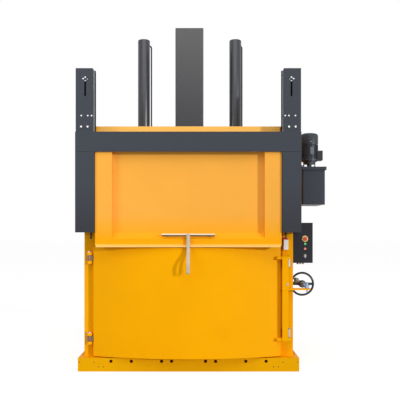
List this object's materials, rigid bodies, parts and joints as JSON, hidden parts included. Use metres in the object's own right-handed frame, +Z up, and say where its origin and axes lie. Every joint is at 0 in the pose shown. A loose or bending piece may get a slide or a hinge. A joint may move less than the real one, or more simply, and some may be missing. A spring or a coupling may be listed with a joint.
{
  "type": "recycling baler",
  "caption": "Upright baling press with a swing door, lift-up loading hatch, twin cylinders, guide column, wheel lock and power pack.",
  "frame": {"origin": "middle of the base frame's footprint, on the floor", "axes": "+Z up, +X to the right seen from the front, the door faces -Y"},
  "size_m": [2.506, 1.532, 3.549],
  "materials": {
    "yellow_paint": "semi-gloss powder coat",
    "anthracite_paint": "satin powder coat",
    "black_paint": "satin powder coat",
    "galvanised_steel": "zinc plated",
    "bright_steel": "turned",
    "chrome_rod": "hard chrome, polished",
    "cast_grey": "painted castings",
    "black_plastic": "moulded",
    "grey_plastic": "moulded",
    "wear_plastic": "machined wear plastic",
    "red_plastic": "moulded",
    "green_plastic": "moulded",
    "yellow_plastic": "moulded",
    "webbing": "woven webbing"
  },
  "bodies": {
    "frame": {"base_front_plate": "yellow_paint", "base_frame": "yellow_paint", "strap_channels": "yellow_paint", "chassis_posts": "yellow_paint", "side_walls": "yellow_paint", "rear_wall": "yellow_paint", "top_frame": "yellow_paint", "guide_pads": "wear_plastic", "front_beam": "anthracite_paint", "leg_covers": "anthracite_paint", "towers": "anthracite_paint", "guide_rails": "galvanised_steel", "rope_wraps": "bright_steel", "hinge_brackets": "yellow_paint", "hinge_pins": "bright_steel", "lock_bearings": "bright_steel", "side_brackets": "yellow_paint", "anchor_spindle": "bright_steel", "cylinder_barrels": "anthracite_paint", "oil_pipes": "anthracite_paint", "valve_manifold": "bright_steel", "tank": "anthracite_paint", "tank_lid": "anthracite_paint", "motor_body": "cast_grey", "fan_cowl": "anthracite_paint", "terminal_box": "cast_grey", "control_box": "black_paint", "control_cover": "black_paint", "cable_glands": "black_plastic", "button_bezels": "black_plastic", "estop_collar": "yellow_plastic", "safety_switch": "grey_plastic", "switch_head": "red_plastic"},
    "platen": {"platen": "yellow_paint", "platen_shoes": "wear_plastic", "column": "anthracite_paint", "cylinder_rods": "chrome_rod"},
    "hatch": {"hatch_panel": "yellow_paint", "slide_shoes": "wear_plastic", "pull_handle": "bright_steel", "pull_strap": "webbing", "hatch_ropes": "bright_steel"},
    "weight_right": {"counterweight_right": "anthracite_paint", "weight_rope_right": "bright_steel"},
    "weight_left": {"counterweight_left": "anthracite_paint", "weight_rope_left": "bright_steel"},
    "sheave_right": {"sheave_right": "black_plastic"},
    "sheave_left": {"sheave_left": "black_plastic"},
    "door": {"door_skin": "yellow_paint", "door_liner": "yellow_paint", "door_hinges": "bright_steel"},
    "lock": {"lock_frame": "yellow_paint", "lock_pins": "bright_steel"},
    "wheel": {"handwheel": "black_plastic", "screw_sleeve": "bright_steel"},
    "screw": {"screw_rod": "bright_steel"},
    "estop": {"estop_button": "red_plastic"},
    "start_button": {"green_button": "green_plastic"},
    "stop_button": {"red_button": "red_plastic"},
    "selector": {"selector": "black_plastic"}
  },
  "joints": [
    {"name": "platen_slide", "type": "slide", "parent": "frame", "child": "platen", "axis": [0, 0, -1], "range_m": [0, 1.1]},
    {"name": "hatch_slide", "type": "slide", "parent": "frame", "child": "hatch", "axis": [0, 0, 1], "range_m": [0, 0.64], "deforming": ["hatch_ropes"]},
    {"name": "weight_right_slide", "type": "slide", "parent": "frame", "child": "weight_right", "axis": [0, 0, 1], "range_m": [-0.64, 0], "deforming": ["weight_rope_right"]},
    {"name": "weight_left_slide", "type": "slide", "parent": "frame", "child": "weight_left", "axis": [0, 0, 1], "range_m": [-0.64, 0], "deforming": ["weight_rope_left"]},
    {"name": "sheave_right_turn", "type": "hinge", "parent": "frame", "child": "sheave_right", "pos_m": [0.962, -0.6405, 2.915], "axis": [0, 1, 0], "range_deg": [0, 880]},
    {"name": "sheave_left_turn", "type": "hinge", "parent": "frame", "child": "sheave_left", "pos_m": [-0.962, -0.6405, 2.915], "axis": [0, -1, 0], "range_deg": [0, 880]},
    {"name": "door_swing", "type": "hinge", "parent": "frame", "child": "door", "pos_m": [-0.986, -0.6, 0.718], "axis": [0, 0, -1], "range_deg": [0, 110], "deforming": ["pull_strap"]},
    {"name": "wheel_spin", "type": "hinge", "parent": "frame", "child": "wheel", "pos_m": [1.172, -0.327, 0.836], "axis": [0, 1, 0], "range_deg": [0, 2880]},
    {"name": "screw_slide", "type": "slide", "parent": "frame", "child": "screw", "axis": [0, 1, 0], "range_m": [0, 0.0915]},
    {"name": "lock_swing", "type": "hinge", "parent": "frame", "child": "lock", "pos_m": [0.993, -0.6, 0.718], "axis": [0, 0, 1], "range_deg": [0, 28.2]},
    {"name": "estop_press", "type": "slide", "parent": "frame", "child": "estop", "axis": [0, 1, 0], "range_m": [0, 0.004], "stiffness_N_per_m": 1500, "springref_m": -0.002},
    {"name": "start_press", "type": "slide", "parent": "frame", "child": "start_button", "axis": [0, 1, 0], "range_m": [0, 0.0035], "stiffness_N_per_m": 800, "springref_m": -0.001},
    {"name": "stop_press", "type": "slide", "parent": "frame", "child": "stop_button", "axis": [0, 1, 0], "range_m": [0, 0.0035], "stiffness_N_per_m": 800, "springref_m": -0.001},
    {"name": "selector_turn", "type": "hinge", "parent": "frame", "child": "selector", "pos_m": [1.166, -0.535, 1.135], "axis": [0, 1, 0], "range_deg": [-45, 45]}
  ],
  "couplings": [
    {"joint": "weight_right_slide", "follows": "hatch_slide", "ratio": -1},
    {"joint": "weight_left_slide", "follows": "hatch_slide", "ratio": -1},
    {"joint": "sheave_right_turn", "follows": "hatch_slide", "rad_per_m": 23.809},
    {"joint": "sheave_left_turn", "follows": "hatch_slide", "rad_per_m": 23.809},
    {"joint": "screw_slide", "follows": "wheel_spin", "m_per_rad": 0.0018104},
    {"joint": "lock_swing", "follows": "wheel_spin", "ratio": 0.0097222}
  ]
}
